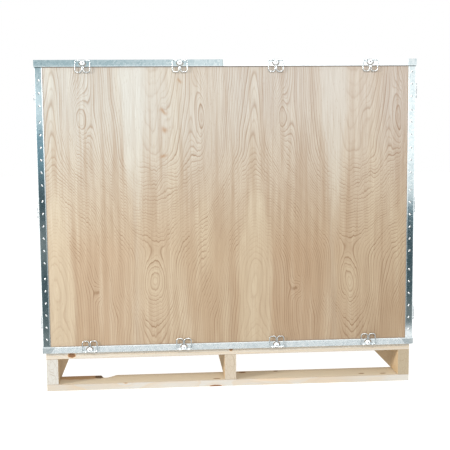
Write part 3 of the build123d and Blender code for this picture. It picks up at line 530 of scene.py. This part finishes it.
HEMS = (0.150, 1.062)
old_zinc = {a: galvanised("galvanised_old_" + a, a, 0.0, HEMS) for a in ("x", "y")}
up_front = galvanised("galvanised_upright_front", "z", 0.0, (), ("x", 0.5944, 0.6172))
up_side = galvanised("galvanised_upright_side", "z", 0.0, (), ("y", 0.4713, 0.4948))
mid_zinc = {a: galvanised("galvanised_mid_" + a, a, 0.45, HEMS) for a in ("x", "y")}
base_zinc = galvanised("galvanised_base_x", "x", 0.72, HEMS)
new_zinc = {a: galvanised("galvanised_new_" + a, a, 1.0, HEMS) for a in ("x", "y")}
for n in nodes:
    if "_edge_" in n:
        if n.startswith(("lid_edge", "base_edge")):
            a = "x" if ("front" in n or "back" in n) else "y"
            if n == "base_edge_front" or n == "base_edge_back":
                z = base_zinc
            elif n in ("lid_edge_front_right", "lid_edge_back_left"):
                z = new_zinc[a]
            elif n.startswith("lid"):
                z = old_zinc[a]
            else:
                z = mid_zinc[a]
        else:
            z = up_front if n.startswith(("front", "back")) else up_side
        give(n, z, "galvanised_sheet")
wire = zinc_wire("zinc_wire")
for n in nodes:
    if "_clip" in n:
        give(n, wire, "spring_wire")
give("pallet_nails", nail_steel("nail_steel"), "nail_steel")

# ------------------------------------------------------ softened edges and normals
for n, o in nodes.items():
    me = o.data
    if n.startswith("pallet_") and n != "pallet_nails":
        b = o.modifiers.new("worn_edges", "BEVEL")
        b.width = 0.0018
        b.segments = 2
        b.limit_method = "ANGLE"
        b.angle_limit = math.radians(60)
    else:
        me.shade_smooth()
        me.set_sharp_from_angle(angle=math.radians(32))

# ------------------------------------------------------------------ floor and light
bpy.ops.mesh.primitive_plane_add(size=30.0, location=(0, 0, -0.0005))
floor = bpy.context.object
floor.name = "floor"
ft = Tree("pale_floor")
fn = ft.noise(ft.obj, 3.0, 3.0)
fc = ft.ramp(fn, [(0.3, (0.30, 0.30, 0.30)), (0.7, (0.32, 0.32, 0.32))])
floor.data.materials.append(ft.finish(fc, 0.9, ft.bump(fn, 0.02, 0.001)))
ft.bsdf.inputs["Specular IOR Level"].default_value = 0.0
# a back-lit white table: it keeps the ground bright under the pallet
ft.bsdf.inputs["Emission Color"].default_value = (1.0, 1.0, 1.0, 1.0)
ft.bsdf.inputs["Emission Strength"].default_value = 0.95
floor.visible_glossy = False

world = bpy.data.worlds.new("studio")
bpy.context.scene.world = world
world.use_nodes = True
wt = world.node_tree
wt.nodes.clear()
wo = wt.nodes.new("ShaderNodeOutputWorld")
bg = wt.nodes.new("ShaderNodeBackground")
wt.links.new(bg.outputs[0], wo.inputs[0])
tc = wt.nodes.new("ShaderNodeTexCoord")
sp = wt.nodes.new("ShaderNodeSeparateXYZ")
wt.links.new(tc.outputs["Generated"], sp.inputs[0])


def wmath(op, a, b=0.0, c=0.0):
    n = wt.nodes.new("ShaderNodeMath")
    n.operation = op
    for s, v in zip(n.inputs, (a, b, c)):
        if isinstance(v, bpy.types.NodeSocket):
            wt.links.new(v, s)
        else:
            s.default_value = v
    return n.outputs[0]


def wstep(value, lo, hi, a=0.0, b=1.0):
    n = wt.nodes.new("ShaderNodeMapRange")
    n.interpolation_type = "SMOOTHSTEP"
    wt.links.new(value, n.inputs["Value"])
    for k, v in zip(("From Min", "From Max", "To Min", "To Max"), (lo, hi, a, b)):
        n.inputs[k].default_value = v
    return n.outputs["Result"]


wx, wy, wz = sp.outputs
# the studio behind the camera is dim and cool below eye level and opens into a
# bright wall above, lower down on the right than on the left
front = wstep(wy, -0.30, -0.65)
slope = wmath("MULTIPLY_ADD", wx, 0.214, wz)
wall = wmath("MULTIPLY", front, wstep(slope, 0.20, 0.10))
east = wstep(wx, -0.16, 0.24)
glow = wmath("MULTIPLY", front, wstep(slope, 0.040, 0.008))
dim = wmath("MULTIPLY", front, wstep(slope, -0.008, -0.034))
deep = wmath("MULTIPLY", front, wstep(wmath("MULTIPLY_ADD", east, -0.045, slope), -0.050, -0.100))
low = wmath("MULTIPLY", deep, wstep(slope, -0.205, -0.260))
patch = wmath("MULTIPLY", deep, wmath("MULTIPLY", wstep(slope, -0.120, -0.145), wstep(slope, -0.185, -0.160)))


def wmix(fac, a, b):
    n = wt.nodes.new("ShaderNodeMix")
    n.data_type = "RGBA"
    ins = [s for s in n.inputs if s.enabled]
    wt.links.new(fac, ins[0])
    for s, v in zip(ins[1:], (a, b)):
        if isinstance(v, bpy.types.NodeSocket):
            wt.links.new(v, s)
        else:
            s.default_value = v
    return [s for s in n.outputs if s.enabled][0]


# the sides and the back of the room: a light band overhead, cooler at eye level
level = wstep(wz, 0.34, 0.10)
streak = wmath("MULTIPLY", level, wstep(wmath("MULTIPLY_ADD", wx, 0.10, wmath("MULTIPLY_ADD", wy, -0.12, wz)), 0.02, -0.06))
room = wmix(level, (1.15, 1.15, 1.15, 1.0), (0.74, 0.78, 0.80, 1.0))
room = wmix(streak, room, (0.34, 0.41, 0.44, 1.0))
west = wmath("MULTIPLY", wstep(wx, -0.45, -0.85), wstep(wz, 0.95, 0.70))
room = wmix(west, room, (0.42, 0.46, 0.48, 1.0))
sky = wmix(front, room, (0.50, 0.52, 0.54, 1.0))
sky = wmix(wall, sky, wmix(east, (0.44, 0.56, 0.59, 1.0), (1.20, 1.23, 1.22, 1.0)))
sky = wmix(glow, sky, wmix(east, (0.85, 0.98, 1.02, 1.0), (1.02, 1.06, 1.06, 1.0)))
sky = wmix(dim, sky, (0.20, 0.35, 0.42, 1.0))
sky = wmix(deep, sky, (0.050, 0.090, 0.105, 1.0))
sky = wmix(patch, sky, (0.20, 0.235, 0.235, 1.0))
sky = wmix(low, sky, (0.15, 0.19, 0.19, 1.0))
wt.links.new(sky, bg.inputs["Color"])
bg.inputs["Strength"].default_value = 1.0


# a plain white backdrop all round; it only closes the view
bpy.ops.mesh.primitive_uv_sphere_add(radius=14.0, location=(0, 0, 0), segments=48, ring_count=24)
backdrop = bpy.context.object
backdrop.name = "backdrop"
bt = bpy.data.materials.new("white_backdrop")
bt.use_nodes = True
bt.node_tree.nodes.clear()
bo = bt.node_tree.nodes.new("ShaderNodeOutputMaterial")
be = bt.node_tree.nodes.new("ShaderNodeEmission")
be.inputs["Color"].default_value = (1.0, 1.0, 1.0, 1.0)
be.inputs["Strength"].default_value = 1.0
bt.node_tree.links.new(be.outputs[0], bo.inputs["Surface"])
backdrop.data.materials.append(bt)
for key in ("visible_diffuse", "visible_glossy", "visible_transmission",
            "visible_volume_scatter", "visible_shadow"):
    setattr(backdrop, key, False)


def area(name, place, target, size, power, colour=(1, 1, 1)):
    ld = bpy.data.lights.new(name, "AREA")
    ld.shape = "RECTANGLE"
    ld.size, ld.size_y = size
    ld.energy = power
    ld.color = colour
    o = bpy.data.objects.new(name, ld)
    o.location = place
    o.rotation_mode = "QUATERNION"
    o.rotation_quaternion = (Vector(target) - Vector(place)).to_track_quat("-Z", "Y")
    bpy.context.scene.collection.objects.link(o)
    return o


area("key", (-5.2, -2.75, 2.15), (0.0, -0.45, 0.4), (1.1, 1.1), 280, (1.0, 0.985, 0.960))
area("fill", (0.4, -5.2, 4.1), (0, -0.4, 0.4), (2.6, 1.6), 185, (1.0, 1.0, 1.0))

# --------------------------------------------------------------------------- camera
cd = bpy.data.cameras.new("camera")
cd.sensor_fit = "AUTO"
cd.sensor_width = 36.0
cd.lens = 36.0 * 875.57 / 450.0
cd.clip_start, cd.clip_end = 0.05, 100.0
cam = bpy.data.objects.new("camera", cd)
right = Vector((0.99723, -0.07371, -0.00952)).normalized()
fwd = Vector((0.07226, 0.99156, -0.10760)).normalized()
up = right.cross(fwd).normalized()
right = fwd.cross(up).normalized()
m = Matrix((right, up, -fwd)).transposed().to_4x4()
m.translation = Vector((-0.2224, -3.3691, 0.8549))
cam.matrix_world = m
bpy.context.scene.collection.objects.link(cam)
bpy.context.scene.camera = cam
bpy.context.scene.view_settings.view_transform = "Standard"
